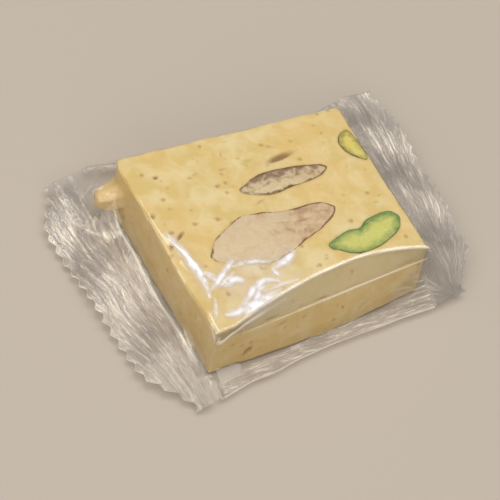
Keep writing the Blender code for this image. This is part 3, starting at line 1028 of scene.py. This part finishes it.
# The sleeve's own lap on the underside: a flat band of double film, so that the film
# beside it stands a little higher
lap_half_width = 3.0 * mm
lap_step = 0.07 * mm
past_lap = np.abs(floor_film[..., 1]) - lap_half_width
floor_z += lap_step * s_curve(-0.2 * mm, 0.2 * mm, past_lap) * on_block
lap_edge = bell(past_lap, 0.3 * mm) * on_block
under_milk = 0.8 * milk * s_curve(0.0, 0.4 * mm, floor_z)
under_milk = np.maximum(under_milk, lap_milk * lap_edge)
ring = np.concatenate([top_film, floor_film[:, ::-1]], axis=1)
ring_marks = {}
for (mask, above, under) in (
        ("milk", milk, under_milk), ("crease_highlight", crease_highlight, crease_highlight * (1.0 - on_block)),
        ("painted_glare", painted_glare, 0 * painted_glare), ("crinkly", crinkly, crinkly),
        ("pleat_across", pleat_across, pleat_across), ("pleat_along", pleat_along, pleat_along)):
    ring_marks[mask] = np.concatenate([above, under[:, ::-1]], axis=1).reshape(-1)
rows, columns = ring.shape[:2]
index = np.arange(rows * columns).reshape(rows, columns)
beside = np.roll(index, -1, axis=1)
walls = np.stack([index[:-1], beside[:-1], beside[1:], index[1:]], -1).reshape(-1, 4)
caps = []
for row in (0, rows - 1):
    near, far = index[row, :across_count], index[row, across_count:][::-1]
    caps.append(np.stack([near[:-1], near[1:], far[1:], far[:-1]], -1))
film = new_piece("clear_film", ring.reshape(-1, 3), np.concatenate([walls] + caps), ring_marks)

# The film's material: its streaks and crinkles run with the pleats
pleat_stretch = 0.09
mirror_flat, mirror_crinkled, mirror_grazing = 0.06, 0.07, 0.8
film_look, tree, shader = plain_material("film_clear", 0.05)
stretched = math(tree, "MULTIPLY", read_mask(tree, "pleat_along"), pleat_stretch)
pleat_place = add_node(tree, "ShaderNodeCombineXYZ", {}, {
    "X": read_mask(tree, "pleat_across"), "Y": stretched}).outputs[0]
facing_away = add_node(tree, "ShaderNodeLayerWeight", {}, {"Blend": 0.5}).outputs["Facing"]
grazing = math(tree, "POWER", facing_away, 5.0)
face_on = math(tree, "MULTIPLY_ADD", read_mask(tree, "crinkly"), mirror_crinkled, mirror_flat)
mirror = math(tree, "MULTIPLY_ADD", grazing, mirror_grazing, face_on)
streaks = noise(tree, pleat_place, 3000.0, 3.0, 0.7, 0.3)
tint = noise(tree, pleat_place, 900.0, 3.0, 0.75)
crinkles = noise(tree, pleat_place, 2600.0, 3.0, 0.6)
lines = spread(tree, streaks, 0.44, 0.64)
streak = math(tree, "MULTIPLY_ADD", lines, 0.60, 0.40)
milk_and_painted_white = math(tree, "MULTIPLY", read_mask(tree, "milk"), streak)
# The crease lines' painted highlight, broken up by noise
local_strength = math(tree, "MULTIPLY_ADD", spread(tree, tint, 0.36, 0.50), 0.4, 0.6)
crease_highlight_paint = math(tree, "MULTIPLY", read_mask(tree, "crease_highlight"), local_strength)
# Painted glare on the folds by the front left corner
glare_paint = read_mask(tree, "painted_glare")
milk_and_painted_white = math(tree, "MAXIMUM", math(tree, "MAXIMUM", milk_and_painted_white, crease_highlight_paint), glare_paint)
# The milky film's colour is painted reflection: dark brown streaks stand for dark surroundings seen in
# its crinkles, warm white ones for glints. How milky it is belongs to the film itself.
glint_share = math(tree, "MULTIPLY", spread(tree, tint, 0.40, 0.60), 0.45)
glint_share = math(tree, "MULTIPLY_ADD", lines, 0.65, glint_share, clamp=True)
milk_and_reflection_colour = blend_colours(tree, glint_share, srgb(108, 84, 60), srgb(253, 238, 214))
# Colours of the painted highlights: cream on the creases, white on the folds by the corner
for (mask, full, white) in (("crease_highlight", 0.25, srgb(255, 246, 222)), ("painted_glare", 0.2, srgb(255, 252, 255))):
    marked = spread(tree, read_mask(tree, mask), 0.0, full)
    milk_and_reflection_colour = blend_colours(tree, marked, milk_and_reflection_colour, white)
clear = math(tree, "SUBTRACT", 1.0, mirror)
covered = math(tree, "MULTIPLY_ADD", milk_and_painted_white, clear, mirror)
mirror_share = math(tree, "DIVIDE", mirror, covered)
film_colour = blend_colours(tree, mirror_share, milk_and_reflection_colour, srgb(250, 249, 248))
roughness = math(tree, "MULTIPLY_ADD", read_mask(tree, "milk"), 0.18, 0.04)
for (value, name) in ((film_colour, "Base Color"), (covered, "Alpha"), (mirror_share, "Metallic"),
                      (roughness, "Roughness")):
    tree.links.new(value, shader.inputs[name])
crinkled = math(tree, "MULTIPLY", crinkles, read_mask(tree, "crinkly"))
crumb_bump(tree, shader, crinkled, 0.40 * mm, 0.9)
film.data.materials.append(film_look)
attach(film, "root")
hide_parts("nougat_pack")


# The floor, the light and the camera
# A pale floor under soft lamps: a long one overhead, two smaller ones for the film's
# glints, two to fill the left and the front, and an even glow. The camera looks down
# on the front left corner, rolled as the photograph is.
floor_size = 3.0
floor_mesh = bpy.data.meshes.new("floor")
corner = floor_size / 2
floor_mesh.from_pydata([(-corner, -corner, 0), (corner, -corner, 0), (corner, corner, 0),
                        (-corner, corner, 0)], [], [(0, 1, 2, 3)])
floor = bpy.data.objects.new("floor", floor_mesh)
bpy.context.scene.collection.objects.link(floor)
floor_look, tree, shader = plain_material("floor_pale", 0.75)
shader.inputs["Base Color"].default_value = srgb(188, 177, 163)
floor.data.materials.append(floor_look)


def soft_lamp(name, direction, distance, size, radiance, colour):
    """An oval area lamp that faces the pack from a direction. Its two sizes lie along
    X and across it. Its power is its radiance times its area times pi."""
    lamp = bpy.data.lights.new(name, "AREA")
    lamp.shape = "ELLIPSE"
    lamp.size, lamp.size_y = size
    lamp.energy = radiance * np.pi * np.pi / 4 * size[0] * size[1]
    lamp.color = colour
    towards = Vector(direction).normalized()
    along = (Vector((1, 0, 0)) - towards * towards.x).normalized()
    turned = Matrix((along, towards.cross(along), towards)).transposed().to_4x4()
    holder = bpy.data.objects.new(name, lamp)
    holder.matrix_world = Matrix.Translation(towards * distance) @ turned
    bpy.context.scene.collection.objects.link(holder)


soft_lamp("overhead", (0.20, -0.06, 0.98), 0.8, (1.0, 0.52), 2.15, (1.0, 0.985, 0.96))
soft_lamp("window", (0.04, 0.30, 0.95), 0.8, (0.36, 0.38), 4.6, (1.0, 0.985, 0.96))
soft_lamp("high_left", (-0.60, 0.30, 0.75), 1.0, (0.45, 0.45), 2.8, (1.0, 0.97, 0.93))
soft_lamp("left_fill", (-0.75, -0.40, 0.50), 1.0, (0.85, 0.85), 1.5, (1.0, 0.96, 0.90))
soft_lamp("front_fill", (-0.25, -0.85, 0.50), 1.0, (0.80, 0.60), 1.35, (1.0, 0.97, 0.94))
world = bpy.data.worlds.new("glow")
world.use_nodes = True
world.node_tree.nodes["Background"].inputs["Color"].default_value = (0.96, 0.96, 1.0, 1.0)
world.node_tree.nodes["Background"].inputs["Strength"].default_value = 0.24
bpy.context.scene.world = world

camera_place = Vector((-134.5, -142.4, 240.1)) * mm
camera_aim = Vector((-4.5, -2.1, 4.0)) * mm
camera_roll = np.radians(17.9)
camera_data = bpy.data.cameras.new("camera")
camera_data.lens = 140.0
camera_data.sensor_width = 36.0
camera_data.clip_start = 0.01
camera = bpy.data.objects.new("camera", camera_data)
forward = (camera_aim - camera_place).normalized()
level = forward.cross(Vector((0, 0, 1))).normalized()
upright = level.cross(forward)
right = level * np.cos(camera_roll) + upright * np.sin(camera_roll)
above = upright * np.cos(camera_roll) - level * np.sin(camera_roll)
turned = Matrix((right, above, -forward)).transposed().to_4x4()
camera.matrix_world = Matrix.Translation(camera_place) @ turned
bpy.context.scene.collection.objects.link(camera)
bpy.context.scene.camera = camera
bpy.context.scene.view_settings.view_transform = "Standard"
bpy.context.scene.cycles.transparent_max_bounces = 32
